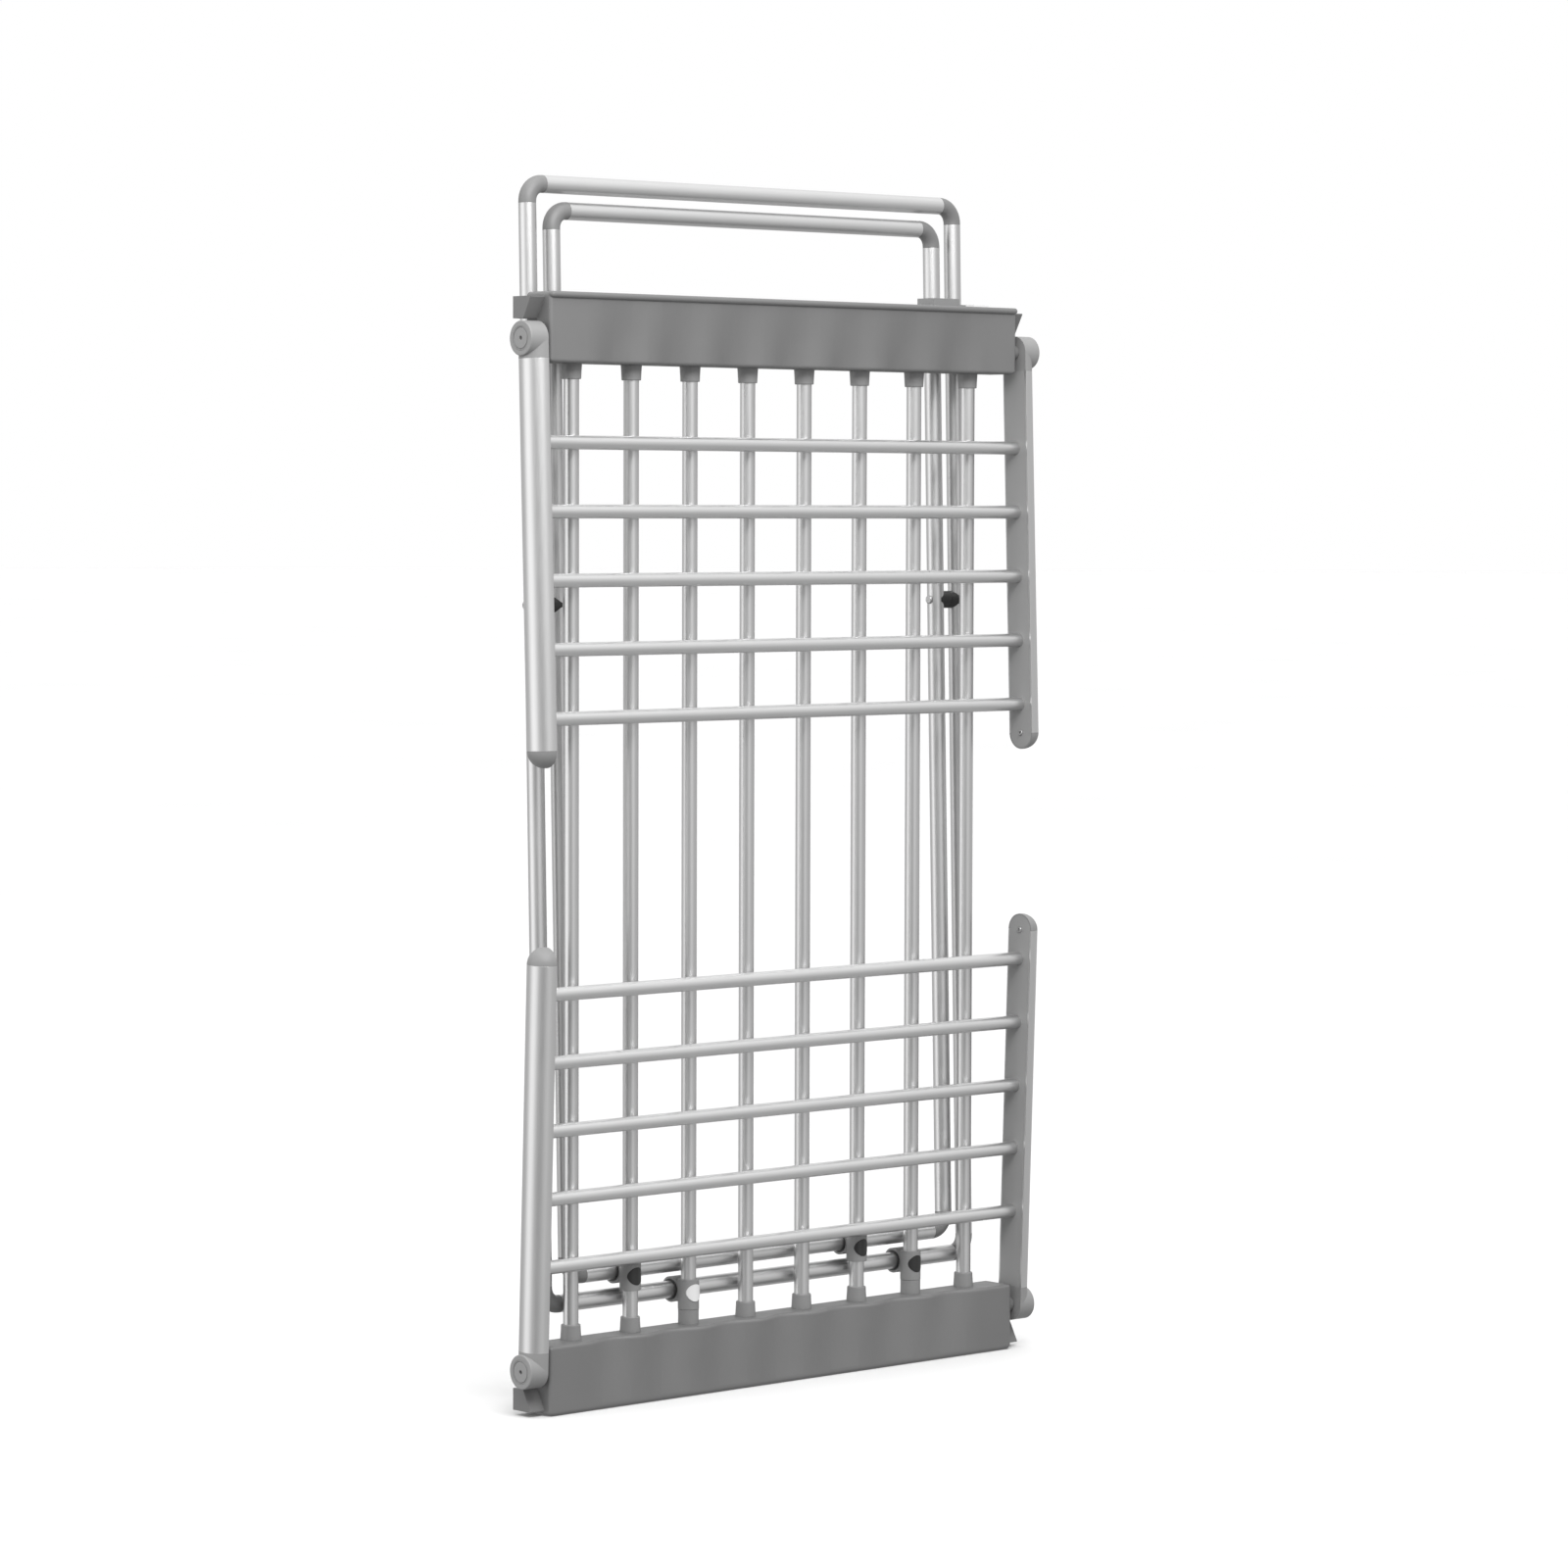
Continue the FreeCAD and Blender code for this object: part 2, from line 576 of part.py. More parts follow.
def rivet(side_x, reach_x, head_x):
    """Rivet along X from its head at head_x to reach_x, with a domed head."""
    low, high = sorted((head_x, reach_x))
    shank = along_x(low, high, 0, 0, RIVET_R)
    head_low = head_x if side_x > 0 else head_x - RIVET_HEAD_TALL
    head = along_x(head_low, head_low + RIVET_HEAD_TALL, 0, 0, RIVET_HEAD_R)
    rim_x = head_x + RIVET_HEAD_TALL * side_x
    rim = [edge for edge in head.Edges if edge.Closed and abs(edge.CenterOfMass.x - rim_x) < 0.1]
    return joined([shank, head.makeFillet(1.2, rim)])


def save_leg(name, half_x, bar_z, length, spacer, rivet_shape):
    lean = math.degrees(math.atan2(CROSS_Y - BAR_Y, CROSS_Z - bar_z))
    cross = math.hypot(CROSS_Y - BAR_Y, CROSS_Z - bar_z)

    def stand(shape):
        lifted = shape.copy()
        lifted.translate(vec(0, BAR_Y, bar_z))
        return turned(lifted, vec(0, BAR_Y, bar_z), AXIS_X, -lean)

    side = pipe_z(ELBOW_LEG, length - ELBOW_LEG, half_x, 0, LEG_R, LEG_WALL)
    hole = along_x(half_x - FAR, half_x + FAR, 0, cross, RIVET_R)
    side = side.cut(hole)
    bar = pipe_x(-half_x + ELBOW_LEG, half_x - ELBOW_LEG, 0, 0, LEG_R, LEG_WALL)
    foot = bar.copy()
    foot.translate(vec(0, 0, length))
    save(name + "_side_tubes", [stand(side), stand(mirror_x(side))])
    save(name + "_lower_bar", [stand(bar)])
    save(name + "_foot_bar", [stand(foot)])
    right_elbows = [elbow(half_x, 0, False), elbow(half_x, length, True)]
    save(name + "_elbows", [stand(piece) for piece in right_elbows]
         + [stand(mirror_x(piece)) for piece in right_elbows])
    for part_name, piece in (("pivot_spacers", spacer), ("pivot_rivets", rivet_shape)):
        raised = piece.copy()
        raised.translate(vec(0, 0, cross))
        save(name + "_" + part_name, [stand(raised), stand(mirror_x(raised))])


def pivot_spacer(face_x, free_x, tube_x):
    """Half of the spacer between the crossing tubes, hollowed to sit on its own tube."""
    low, high = sorted((tube_x, free_x))
    washer = along_x(low, high, 0, 0, SPACER_R)
    washer = washer.cut(along_z(-FAR, FAR, tube_x, 0, LEG_R))
    washer = washer.cut(along_x(face_x - FAR, face_x + FAR, 0, 0, RIVET_R))
    return washer


def save_legs():
    gap_mid = (OUTER_X - LEG_R + INNER_X + LEG_R) / 2
    outer_free = gap_mid + SPACER_GAP / 2
    inner_free = gap_mid - SPACER_GAP / 2
    save_leg("outer_leg", OUTER_X, OUTER_BAR_Z, OUTER_LEN,
             pivot_spacer(OUTER_X - LEG_R, outer_free, OUTER_X),
             rivet(1, outer_free, OUTER_X + LEG_R))
    save_leg("inner_leg", INNER_X, INNER_BAR_Z, INNER_LEN,
             pivot_spacer(INNER_X + LEG_R, inner_free, INNER_X),
             rivet(-1, inner_free, INNER_X - LEG_R))


# ---- clips that carry the legs on the main rods ---------------------------------------
LINER_R = LEG_R + LINER_WALL
MOUTH_HALF = 5.0
NECK_HALF = 9.0
INNER_WALL_R = ROD_R + 0.8   # wall left between a button's pocket and the rod
POCKET_Y = ROD_Y - 3.0       # how far back the pocket reaches
PAST = 1.0                   # overrun of a sleeve's cutting tools


def clip(index, sleeve, bar_z, button_z, bore_r):
    """Sleeve round a main rod with a jaw at its rear for a leg's lower bar."""
    x = rod_x(index)
    low, high = sleeve
    ring = along_z(low, high, x, ROD_Y, SLEEVE_R)
    jaw = along_x(x - JAW_HALF, x + JAW_HALF, BAR_Y, bar_z, JAW_R)
    neck = box(x - JAW_HALF, x + JAW_HALF, ROD_Y, BAR_Y, bar_z - NECK_HALF, bar_z + NECK_HALF)
    body = joined([ring, jaw, neck])
    body = body.cut(along_x(x - FAR, x + FAR, BAR_Y, bar_z, LINER_R))
    body = body.cut(box(x - FAR, x + FAR, BAR_Y, BAR_Y + FAR, bar_z - MOUTH_HALF, bar_z + MOUTH_HALF))
    body = body.cut(along_y(ROD_Y - FAR, POCKET_Y, x, button_z, BUTTON_R + BUTTON_GAP))
    inner_wall = along_z(low, high, x, ROD_Y, INNER_WALL_R)
    return joined([body, inner_wall]).cut(along_z(low - PAST, high + PAST, x, ROD_Y, bore_r))


def clip_liner(index, bar_z):
    """Black bearing liner between a jaw and the leg's bar, open at the rear like the jaw."""
    x = rod_x(index)
    half = JAW_HALF + 0.8
    ring = along_x(x - half, x + half, BAR_Y, bar_z, LINER_R)
    ring = ring.cut(along_x(x - FAR, x + FAR, BAR_Y, bar_z, LEG_R + RUNNING))
    return ring.cut(box(x - FAR, x + FAR, BAR_Y, BAR_Y + FAR, bar_z - MOUTH_HALF, bar_z + MOUTH_HALF))


def clip_button(index, button_z, proud, room):
    """Round button on the front of a clip, curved like the sleeve, with room to sink behind it."""
    x = rod_x(index)
    disc = along_y(ROD_Y - FAR, POCKET_Y - BUTTON_GAP - room, x, button_z, BUTTON_R)
    disc = disc.common(along_z(button_z - FAR, button_z + FAR, x, ROD_Y, SLEEVE_R + proud))
    behind = INNER_WALL_R + BUTTON_GAP + room
    return disc.cut(along_z(button_z - FAR, button_z + FAR, x, ROD_Y, behind))


def save_clips():
    fixed = [clip(index, FIXED_SLEEVE, OUTER_BAR_Z, BUTTON_Z, ROD_R) for index in FIXED_RODS]
    sliding = [clip(index, SLIDING_SLEEVE, INNER_BAR_Z, SLIDER_BUTTON_Z, ROD_R + RUNNING)
               for index in SLIDING_RODS]
    save("fixed_clips", fixed)
    save("sliding_clips", sliding)
    save("fixed_clip_liners", [clip_liner(index, OUTER_BAR_Z) for index in FIXED_RODS])
    save("sliding_clip_liners", [clip_liner(index, INNER_BAR_Z) for index in SLIDING_RODS])
    save("fixed_clip_cap", [clip_button(FIXED_RODS[1], BUTTON_Z, BUTTON_PROUD, 0)])
    caps = [clip_button(index, SLIDER_BUTTON_Z, BUTTON_PROUD, 0) for index in SLIDING_RODS]
    save("sliding_clip_caps", caps)
    save("lock_button", [clip_button(FIXED_RODS[0], BUTTON_Z, LOCK_PROUD, LOCK_TRAVEL)])


# ---- the whole airer -------------------------------------------------------------------
def main():
    save("lower_head_shell", [head_shell(False)])
    save("upper_head_shell", [mirror_top(head_shell(True))])
    cover = head_cover()
    save("lower_head_cover", [cover])
    save("upper_head_cover", [mirror_top(cover)])
    screws = head_screws()
    save("head_cover_screws", screws + [mirror_top(screw) for screw in screws])
    lower = [ferrule(index, FERRULE_R - 0.1 if index in FIXED_RODS else FERRULE_END_R)
             for index in range(ROD_COUNT)]
    save("lower_ferrules", lower)
    save("upper_ferrules", [mirror_top(ferrule(index, FERRULE_END_R)) for index in range(ROD_COUNT)])
    for index in range(ROD_COUNT):
        rod = pipe_z(ROD_SOCKET_Z, HEIGHT - ROD_SOCKET_Z, rod_x(index), ROD_Y, ROD_R, ROD_WALL)
        save("main_rod_" + str(index + 1), [rod])
    bolt = hinge_bolt()
    lower_bolts = [bolt, mirror_x(bolt)]
    save("hinge_bolts", lower_bolts + [mirror_top(piece) for piece in lower_bolts])
    save("leg_catch", [leg_catch()])
    save("catch_screws", catch_screws())
    save("top_pad", [top_pad()])
    save_wing("lower_wing", lambda shape: shape)
    save_wing("upper_wing", mirror_top)
    save_legs()
    save_clips()


main()
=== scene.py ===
# %% [markdown]
# # A folding clothes airer in its studio
# The airer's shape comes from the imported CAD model, which is loaded first and never moved.
# This script adds materials, small details, a floor, lights and a camera around it.
# All lengths are in metres. X runs along the heads, +Y to the rear and +Z up.

# %% Load the frame
import bmesh
import bpy
import json
import math
from mathutils import Matrix, Vector


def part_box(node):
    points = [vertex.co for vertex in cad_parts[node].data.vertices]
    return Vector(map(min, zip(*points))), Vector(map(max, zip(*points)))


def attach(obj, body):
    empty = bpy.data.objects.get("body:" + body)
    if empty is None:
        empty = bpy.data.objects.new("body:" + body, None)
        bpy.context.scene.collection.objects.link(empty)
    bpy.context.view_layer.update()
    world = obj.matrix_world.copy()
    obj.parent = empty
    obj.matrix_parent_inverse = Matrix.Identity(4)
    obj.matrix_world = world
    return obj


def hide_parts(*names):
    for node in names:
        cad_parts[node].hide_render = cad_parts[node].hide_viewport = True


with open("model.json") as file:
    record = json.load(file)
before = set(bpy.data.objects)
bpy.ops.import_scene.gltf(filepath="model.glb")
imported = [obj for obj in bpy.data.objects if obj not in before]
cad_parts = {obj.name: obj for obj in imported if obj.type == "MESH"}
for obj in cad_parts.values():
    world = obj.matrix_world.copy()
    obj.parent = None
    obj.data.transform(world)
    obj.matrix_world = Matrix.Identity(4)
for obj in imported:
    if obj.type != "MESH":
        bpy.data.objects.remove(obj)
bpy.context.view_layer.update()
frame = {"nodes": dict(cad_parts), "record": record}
nodes = frame["nodes"]
slot_of = {part["node"]: part["material_slot"] for part in frame["record"]["subparts"]}

# %% [markdown]
# ## Arithmetic on node sockets
# A shader is easier to read as a formula. `Wire` holds one output of a node and turns + - * /
# into Math nodes for values, Vector Math nodes for vectors and Mix nodes for colours.
# `Graph.add` makes any node: its settings first, then what goes into its sockets.


# %% Socket arithmetic
class Wire:
    """One output of a shader node, usable in formulas."""

    def __init__(self, graph, output):
        self.graph = graph
        self.output = output

    def other(self, name):
        """Another output of the same node."""
        return Wire(self.graph, self.output.node.outputs[name])

    def combine(self, operation, first, second):
        kinds = {side.output.type for side in (first, second) if isinstance(side, Wire)}
        if "RGBA" in kinds:
            sides = {6: spread(first, 4), 7: spread(second, 4), 0: 1.0}
            settings = {"data_type": "RGBA", "blend_type": operation}
            return self.graph.add("Mix", settings, sides, 2)
        if "VECTOR" in kinds:
            sides = {0: spread(first, 3), 1: spread(second, 3)}
            return self.graph.add("VectorMath", {"operation": operation}, sides)
        return self.graph.add("Math", {"operation": operation}, {0: first, 1: second})

    def __add__(self, value):
        return self.combine("ADD", self, value)

    def __radd__(self, value):
        return self.combine("ADD", value, self)

    def __sub__(self, value):
        return self.combine("SUBTRACT", self, value)

    def __rsub__(self, value):
        return self.combine("SUBTRACT", value, self)

    def __mul__(self, value):
        return self.combine("MULTIPLY", self, value)

    def __rmul__(self, value):
        return self.combine("MULTIPLY", value, self)

    def __truediv__(self, value):
        return self.combine("DIVIDE", self, value)

    def __rtruediv__(self, value):
        return self.combine("DIVIDE", value, self)


def spread(value, count):
    """A plain number repeated for a vector or colour socket; anything else as it is."""
    return (value,) * count if isinstance(value, (int, float)) else value


class Graph:
    """The node tree of a material or of the world, emptied and ready to build."""

    def __init__(self, tree):
        self.tree = tree
        tree.nodes.clear()

    def add(self, kind, settings=None, inputs=None, output=0):
        """Make a node: settings first, then sockets. Gives one of its outputs, if it has any."""
        node = self.tree.nodes.new("ShaderNode" + kind)
        for name, value in (settings or {}).items():
            setattr(node, name, value)
        for key, value in (inputs or {}).items():
            if isinstance(value, Wire):
                self.tree.links.new(value.output, node.inputs[key])
            else:
                node.inputs[key].default_value = value
        return Wire(self, node.outputs[output]) if len(node.outputs) else None

    def stretched(self, factors):
        """Position on the object, scaled differently along each axis."""
        place = self.add("TexCoord").other("Object")
        return place * factors

    def noise(self, place, scale, detail=3.0):
        """Soft noise from 0 to 1 at a place."""
        inputs = {"Vector": place, "Scale": scale, "Detail": detail}
        return self.add("TexNoise", None, inputs, "Fac")

    def ramp(self, value, low, high, start=0.3, end=0.7):
        """Value from low to high while the input goes from start to end."""
        inputs = {0: value, 1: start, 2: end, 3: low, 4: high}
        return self.add("MapRange", None, inputs)

    def blend(self, share, first, second):
        """Colour between two plain colours."""
        inputs = {0: share, 6: (*first, 1.0), 7: (*second, 1.0)}
        return self.add("Mix", {"data_type": "RGBA"}, inputs, 2)


print("socket arithmetic ready")

# %% [markdown]
# ## Moulded plastic
# Moulded plastic has a fine spark-eroded grain, a slow drift of tone where the melt cooled
# unevenly, and slightly polished patches where hands touch it. The grain goes into the bump,
# the drift into colour and the patches into roughness. A Bevel node softens the sharp edges.


# %% Plastic material
DRIFT_SCALE = 9.0            # noise features per metre, coarse to fine
PATCH_SCALE = 38.0
PITTING_SCALE = 900.0
SPECKLE_SCALE = 2600.0
BEVEL_SAMPLES = 4
EVENLY = (1.0, 1.0, 1.0)


def shader(name):
    """A new material and the graph that builds it."""
    material = bpy.data.materials.new(name)
    material.use_nodes = True
    graph = Graph(material.node_tree)
    return material, graph


def finished(graph, inputs):
    """Connect the surface shader to the output."""
    surface = graph.add("BsdfPrincipled", None, inputs)
    graph.add("OutputMaterial", None, {"Surface": surface})


def plastic(name, dark, light, roughness, grain):
    """Moulded plastic between two colours; grain is the strength of its fine relief."""
    material, graph = shader(name)
    place = graph.stretched(EVENLY)
    drift = graph.noise(place, DRIFT_SCALE, 4.0)
    speckle = graph.noise(place, SPECKLE_SCALE, 2.0)
    patches = graph.noise(place, PATCH_SCALE, 5.0)
    tone = drift * 0.6 + speckle * 0.25 + patches * 0.15
    soft = graph.add("Bevel", {"samples": BEVEL_SAMPLES}, {"Radius": 0.0005})
    height = speckle * 0.7 + graph.noise(place, PITTING_SCALE, 2.0) * 0.3
    normal = graph.add("Bump", None, {"Strength": grain, "Distance": 0.0002, "Height": height,
                                      "Normal": soft})
    finished(graph, {
        "Base Color": graph.blend(graph.ramp(tone, 0.0, 1.0), dark, light),
        "Roughness": graph.ramp(patches, roughness - 0.06, roughness + 0.06),
        "Normal": normal,
    })
    return material


def grey(value):
    return (value, value, value)


plastics = {
    "head_plastic": plastic("moulded grey", grey(0.132), grey(0.152), 0.50, 0.30),
    "ferrule_plastic": plastic("moulded dark grey", grey(0.195), grey(0.225), 0.48, 0.28),
    "fitting_plastic": plastic("satin grey", grey(0.215), grey(0.245), 0.42, 0.20),
    "elbow": plastic("elbow grey", grey(0.150), grey(0.175), 0.45, 0.28),
    "strip_plastic": plastic("light matte grey", grey(0.250), grey(0.280), 0.58, 0.22),
    "black_plastic": plastic("satin black", grey(0.008), grey(0.014), 0.38, 0.20),
    "pale_plastic": plastic("pale grey", grey(0.66), grey(0.72), 0.45, 0.18),
}
print(len(plastics), "plastics")

# %% [markdown]
# ## Drawn and anodised aluminium
# A drawn tube carries hairlines along its length. The noise is squeezed to a fiftieth along
# the tube, so it turns into streaks, which shift the roughness a little and the normal a
# little less. Anodising adds a finer, even speckle.


# %% Metal materials
HAIRLINE_SCALE = 1400.0      # noise features per metre across the tube
BAND_SCALE = 160.0
ANODISED_SCALE = 3200.0
CLOUD_SCALE = 14.0
DRAWN = 0.02                 # how much the noise is squeezed along the tube


def aluminium(name, along, dark, light, roughness):
    """Satin anodised tube whose hairlines run along X (0), Y (1) or Z (2)."""
    material, graph = shader(name)
    factors = list(EVENLY)
    factors[along] = DRAWN
    lines = graph.noise(graph.stretched(tuple(factors)), HAIRLINE_SCALE, 3.0)
    bands = graph.noise(graph.stretched(tuple(factors)), BAND_SCALE, 2.0)
    place = graph.stretched(EVENLY)
    speckle = graph.noise(place, ANODISED_SCALE, 2.0)
    cloud = graph.noise(place, CLOUD_SCALE, 3.0)
    tone = lines * 0.25 + bands * 0.25 + speckle * 0.2 + cloud * 0.3
    soft = graph.add("Bevel", {"samples": BEVEL_SAMPLES}, {"Radius": 0.0003})
    height = lines * 0.8 + speckle * 0.2
    normal = graph.add("Bump", None, {"Strength": 0.04, "Distance": 0.0001, "Height": height,
                                      "Normal": soft})
    finished(graph, {
        "Base Color": graph.blend(graph.ramp(tone, 0.0, 1.0), dark, light),
        "Metallic": 1.0,
        "Roughness": graph.ramp(lines, roughness - 0.02, roughness + 0.03),
        "Normal": normal,
    })
    return material


def steel(name):
    """Zinc plated screws and rivets, with a faint mottle in the plating."""
    material, graph = shader(name)
    place = graph.stretched(EVENLY)
    mottle = graph.noise(place, 700.0, 4.0)
    wear = graph.noise(place, 120.0, 3.0)
    normal = graph.add("Bump", None, {"Strength": 0.15, "Distance": 0.0001, "Height": mottle})
    finished(graph, {
        "Base Color": graph.blend(graph.ramp(mottle, 0.0, 1.0), grey(0.36), grey(0.50)),
        "Metallic": 1.0,
        "Roughness": graph.ramp(wear, 0.25, 0.42),
        "Normal": normal,
    })
    return material


metals = {
    "upright": aluminium("aluminium along z", 2, grey(0.54), grey(0.58), 0.37),
    "level": aluminium("aluminium along x", 0, grey(0.64), grey(0.68), 0.36),
    "screw": steel("zinc plated steel"),
}
print(len(metals), "metals")

# %% [markdown]
# ## Materials onto the CAD pieces
# The record names a material slot for every node. Tubes that lie along X take the aluminium
# with hairlines along X, the others the upright one. The leg elbows are a darker grey than the
# other fittings.


# %% Assign materials
def is_level(name):
    return "wing_rod" in name or name.endswith("_bar")


for name, node in nodes.items():
    slot = slot_of[name]
    if slot == "satin_aluminium":
        chosen = metals["level" if is_level(name) else "upright"]
    elif slot == "screw_steel":
        chosen = metals["screw"]
    elif "elbow" in name:
        chosen = plastics["elbow"]
    else:
        chosen = plastics[slot]
    node.data.materials.clear()
    node.data.materials.append(chosen)
print("materials on", len(nodes), "nodes")

# %% [markdown]
# ## Ring screws
# A small screw near the tip of each wing arm pins the rounded end cap. Its head is a raised
# ring with a deep round socket, which shows as a bright ring with a dark middle. It is a turned
# part, so one profile is spun about X, and the second screw of the pair is its mirror image.

# %% Ring screws
SCREW_TIP = 0.008            # length of the thread behind the seat
TURNED_SIDES = 32            # of every turned piece
SHARP_EDGE = math.radians(40)
# distance from the seat towards the thread, and radius there
SCREW_PROFILE = [(SCREW_TIP, 0.0), (SCREW_TIP, 0.0012), (0.0072, 0.0015), (0.0, 0.0015),
                 (0.0, 0.0024), (-0.0002, 0.0026), (-0.0006, 0.0026), (-0.0010, 0.00235),
                 (-0.0012, 0.0020), (-0.0012, 0.0017), (-0.0010, 0.00145), (-0.0004, 0.0014),
                 (0.0002, 0.0013), (0.0002, 0.0)]


def spun(shape, profile, seat_x, side, y, z):
    """Turn a profile about the X axis through y, z; side is +1 or -1."""
    rings = []
    for along, radius in profile:
        x = side * (seat_x + along)
        if radius == 0:
            rings.append([shape.verts.new((x, y, z))])
            continue
        angles = [2 * math.pi * k / TURNED_SIDES for k in range(TURNED_SIDES)]
        rings.append([shape.verts.new((x, y + radius * math.cos(a), z + radius * math.sin(a)))
                      for a in angles])
    for first, second in zip(rings, rings[1:]):
        for k in range(TURNED_SIDES):
            n = (k + 1) % TURNED_SIDES
            corners = [first[k % len(first)], first[n % len(first)],
                       second[n % len(second)], second[k % len(second)]]
            shape.faces.new(dict.fromkeys(corners))
    bmesh.ops.recalc_face_normals(shape, faces=shape.faces)


def turned_pair(name, body, node, profile, reach, material):
    """Two mirrored turned pieces in place of a CAD node. The profile starts from a plane that
    lies the distance reach inside the node's outermost face."""
    low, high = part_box(node)
    mesh = bpy.data.meshes.new(name)
    shape = bmesh.new()
    for side in (1, -1):
        spun(shape, profile, high[0] - reach, side, (low[1] + high[1]) / 2,
             (low[2] + high[2]) / 2)
    for face in shape.faces:
        face.smooth = True
    shape.to_mesh(mesh)
    shape.free()
    mesh.set_sharp_from_angle(angle=SHARP_EDGE)
    mesh.materials.append(material)
    made = bpy.data.objects.new(name, mesh)
    bpy.context.scene.collection.objects.link(made)
    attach(made, body)
    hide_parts(node)
    print(made.name, len(mesh.polygons), "faces")


for wing in ("lower_wing", "upper_wing"):
    turned_pair(wing + "_ring_screws", wing, wing + "_end_screws", SCREW_PROFILE, SCREW_TIP,
                metals["screw"])

# %% [markdown]
# ## Hinge caps
# A snap-in cap closes each hinge boss. It has a fine groove inside its rim and a small round
# hole in the middle, where a pin pushes it out again. Both catch a thin dark line of shade.

# %% Hinge caps
# distance from the outer face outwards, and radius there
CAP_PROFILE = [(-0.0030, 0.0), (-0.0030, 0.0109), (-0.0002, 0.0109), (0.0, 0.0107),
               (0.0, 0.0100), (-0.0006, 0.0098), (-0.0006, 0.0093), (0.0, 0.0091),
               (0.0, 0.0021), (-0.0003, 0.0018), (-0.0026, 0.0017), (-0.0026, 0.0)]
for wing in ("lower_wing", "upper_wing"):
    cap_slot = slot_of[wing + "_hinge_caps"]
    turned_pair(wing + "_grooved_caps", wing, wing + "_hinge_caps", CAP_PROFILE, 0.0,
                plastics[cap_slot])

# %% [markdown]
# ## Floor and backdrop
# A wide pale floor meets a white shell far away, so no horizon shows. What lights the airer
# comes later; the floor and the shell only show behind it.


# %% Floor and backdrop
def floor_material():
    material, graph = shader("floor paint")
    cloud = graph.noise(graph.stretched(EVENLY), 1.5, 3.0)
    finished(graph, {
        "Base Color": graph.blend(graph.ramp(cloud, 0.0, 1.0), grey(0.70), grey(0.72)),
        "Roughness": graph.ramp(cloud, 0.85, 0.95),
        "Specular IOR Level": 0.1,
    })
    return material


def shell_material():
    material, graph = shader("white backdrop")
    glow = graph.add("Emission", None, {"Color": (1.0, 1.0, 1.0, 1.0), "Strength": 1.0})
    graph.add("OutputMaterial", None, {"Surface": glow})
    return material


def staged(name, build, material):
    """Stage object from a bmesh operation; it lights nothing and shows in no reflection."""
    mesh = bpy.data.meshes.new(name)
    shape = bmesh.new()
    build(shape)
    shape.to_mesh(mesh)
    shape.free()
    mesh.materials.append(material)
    thing = bpy.data.objects.new(name, mesh)
    bpy.context.scene.collection.objects.link(thing)
    thing.visible_glossy = False
    thing.visible_diffuse = False
    return thing


SHELL_RADIUS = 60.0
floor = staged("floor", lambda shape: bmesh.ops.create_circle(
    shape, cap_ends=True, radius=SHELL_RADIUS, segments=64), floor_material())
backdrop = staged("backdrop", lambda shape: bmesh.ops.create_uvsphere(
    shape, u_segments=32, v_segments=16, radius=SHELL_RADIUS), shell_material())
backdrop.visible_shadow = False
print("floor and backdrop,", SHELL_RADIUS, "m")

# %% [markdown]
# ## Sky
# A studio is uneven: bright above, dim below, with a large soft box at the left, a weaker one
# at the right and a dark gap between them. A round tube reflects these as bands along its
# length, which is what makes it read as metal. The sky's brightness is one formula of direction.

# %% Sky
LEFT_BOX = Vector((-0.962, 0.270, 0.09)).normalized()
RIGHT_BOX = Vector((-0.011, -1.0, 0.05)).normalized()
DARK_GAP = Vector((-0.664, -0.747, 0.05)).normalized()
BELOW, ABOVE = 0.50, 0.95    # brightness low down and high up
OVERHEAD = 0.3               # added straight above
LEFT_STRENGTH, RIGHT_STRENGTH = 1.1, 0.35
GAP_DEPTH = 0.45


def patch(sky, direction, centre, outer_degrees, inner_degrees):
    """1 within the inner angle round centre, 0 outside the outer one."""
    towards = sky.add("VectorMath", {"operation": "DOT_PRODUCT"},
                      {0: direction, 1: tuple(centre)}, "Value")
    edges = [math.cos(math.radians(angle)) for angle in (outer_degrees, inner_degrees)]
    return sky.ramp(towards, 0.0, 1.0, *edges)


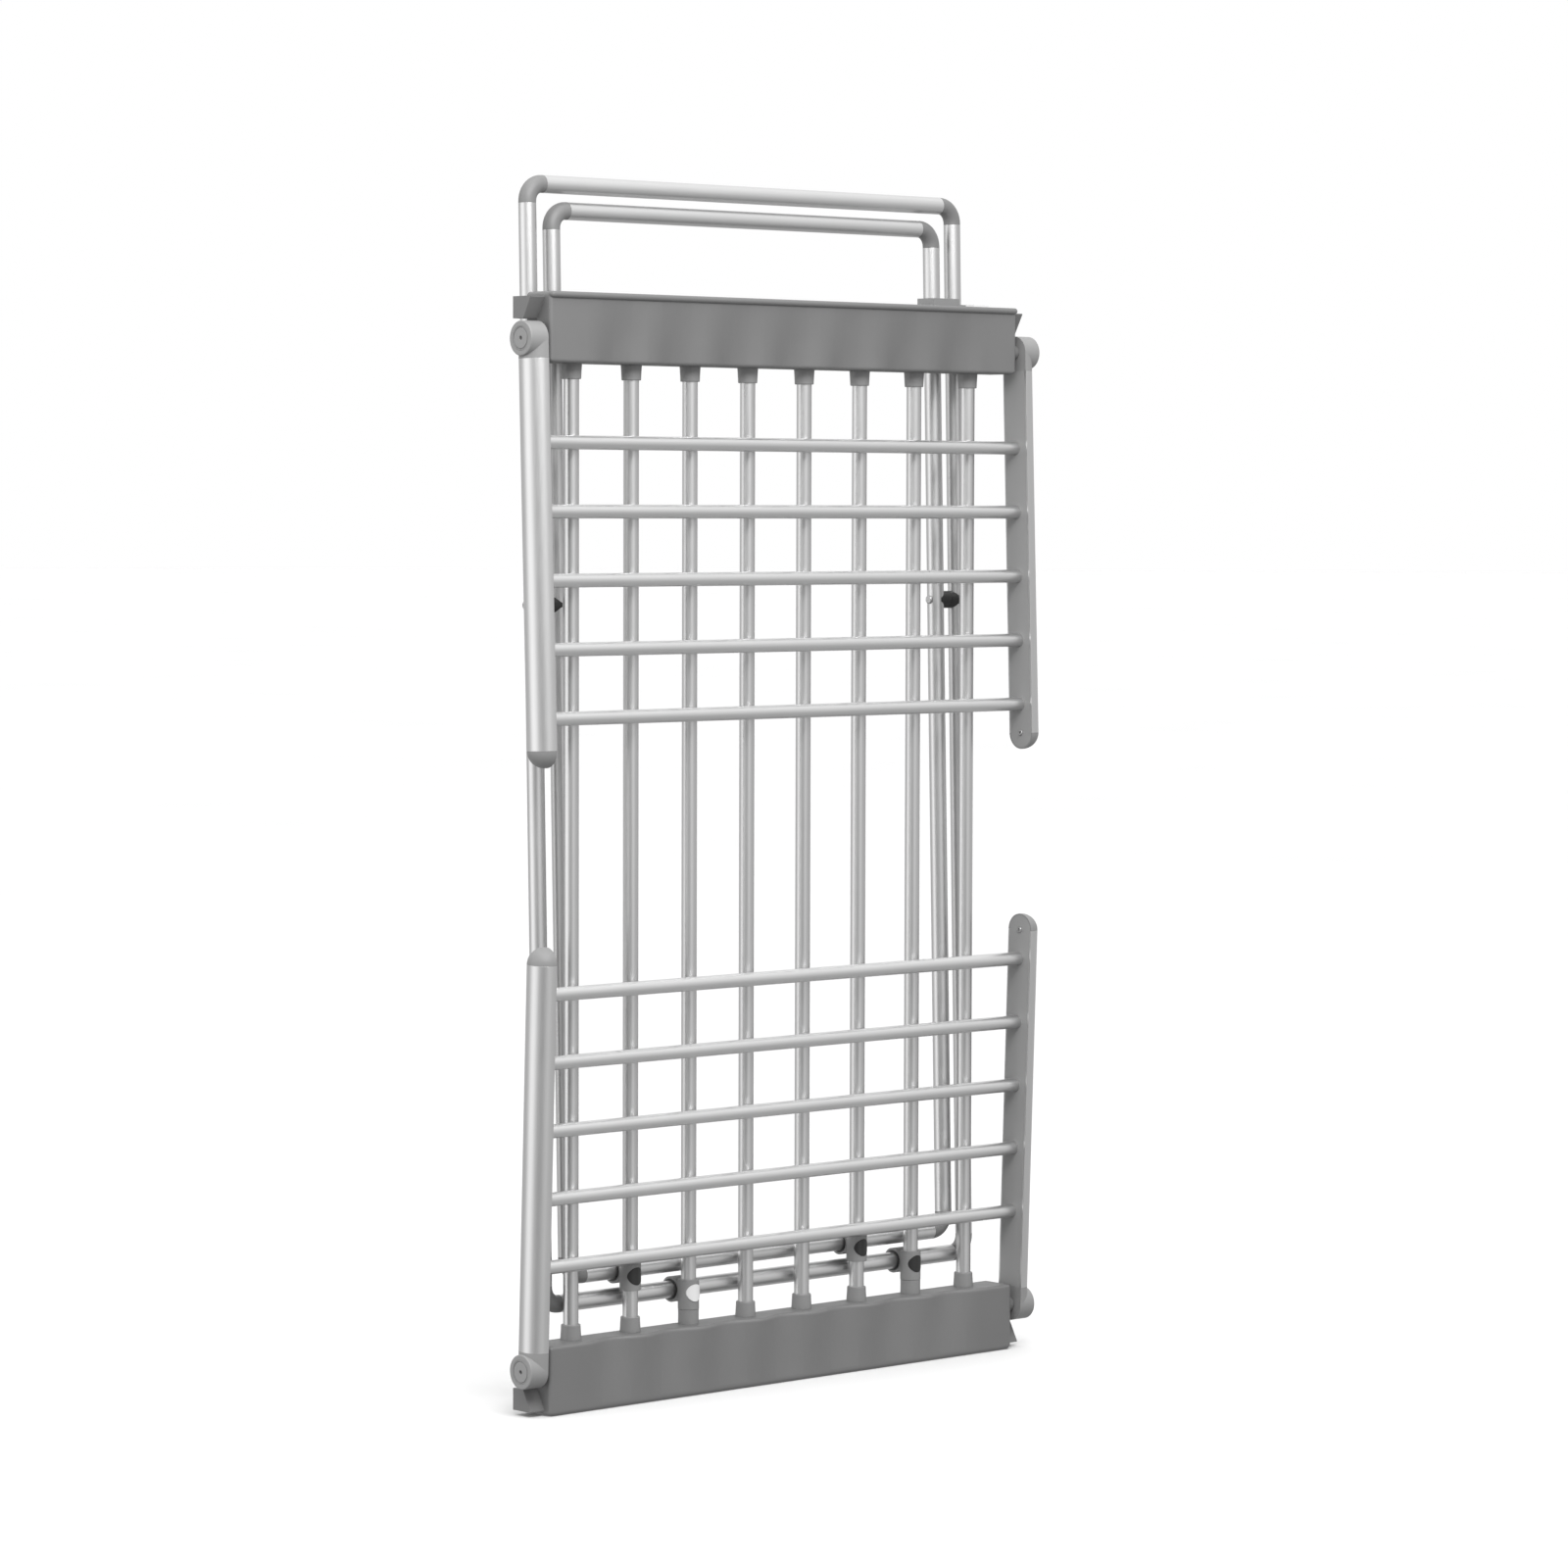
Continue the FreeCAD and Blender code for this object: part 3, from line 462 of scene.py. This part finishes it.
world = bpy.data.worlds.new("studio sky")
bpy.context.scene.world = world
world.use_nodes = True
sky = Graph(world.node_tree)
direction = sky.add("TexCoord").other("Generated")
height = sky.add("SeparateXYZ", None, {0: direction}).other("Z")
glow = sky.ramp(height, BELOW, ABOVE, -0.45, 0.45)
glow = glow + sky.ramp(height, 0.0, OVERHEAD, 0.5, 0.9)
glow = glow + patch(sky, direction, LEFT_BOX, 36, 14) * LEFT_STRENGTH
glow = glow + patch(sky, direction, RIGHT_BOX, 24, 10) * RIGHT_STRENGTH
glow = glow * (1.0 - patch(sky, direction, DARK_GAP, 24, 8) * GAP_DEPTH)
sky.add("OutputWorld", None, {"Surface": sky.add("Background", None, {
    "Color": (1.0, 1.0, 1.0, 1.0), "Strength": glow})})
bpy.context.scene.view_settings.view_transform = "Standard"
print("sky with two soft boxes")

# %% [markdown]
# ## Lamps
# Two lamps add the little direction that soft light has: a very wide sun from above and a box
# above the front left, which is nearer to the upper head and lights it more than the lower one.


# %% Lamps
def lamp(name, kind, settings, place, toward):
    """Light at a place, shining along the vector toward."""
    data = bpy.data.lights.new(name, kind)
    for key, value in settings.items():
        setattr(data, key, value)
    made = bpy.data.objects.new(name, data)
    made.location = place
    made.rotation_mode = "QUATERNION"
    made.rotation_quaternion = Vector(toward).to_track_quat("-Z", "Y")
    made.visible_camera = False
    bpy.context.scene.collection.objects.link(made)
    return made


lamp("top sun", "SUN", {"energy": 1.0, "angle": math.radians(60)}, (0, 0, 3), (0.15, 0.25, -1.0))
lamp("front box", "AREA", {"energy": 30.0, "shape": "RECTANGLE", "size": 1.6, "size_y": 0.8},
     (-0.7, -1.3, 1.9), (0.5, 1.3, -1.1))
print("two lamps")

# %% [markdown]
# ## Camera
# The camera stands low in front of the left end and looks slightly down, with a long lens
# that keeps the airer's uprights almost parallel.

# %% Camera
CAMERA_PLACE = Vector((-3.16132, -3.55668, 0.81236))
TURN = math.radians(41.68)
DIP = math.radians(3.10)
ROLL = math.radians(0.16)
ahead = Vector((math.sin(TURN) * math.cos(DIP), math.cos(TURN) * math.cos(DIP), -math.sin(DIP)))
camera_data = bpy.data.cameras.new("camera")
camera_data.lens = 118.4
camera_data.sensor_width = 36.0
camera_data.clip_end = 200.0
camera = bpy.data.objects.new("camera", camera_data)
bpy.context.scene.collection.objects.link(camera)
turn = ahead.to_track_quat("-Z", "Y").to_matrix() @ Matrix.Rotation(ROLL, 3, "Z")
camera.matrix_world = Matrix.Translation(CAMERA_PLACE) @ turn.to_4x4()
bpy.context.scene.camera = camera
print("camera at", [round(v, 2) for v in CAMERA_PLACE])
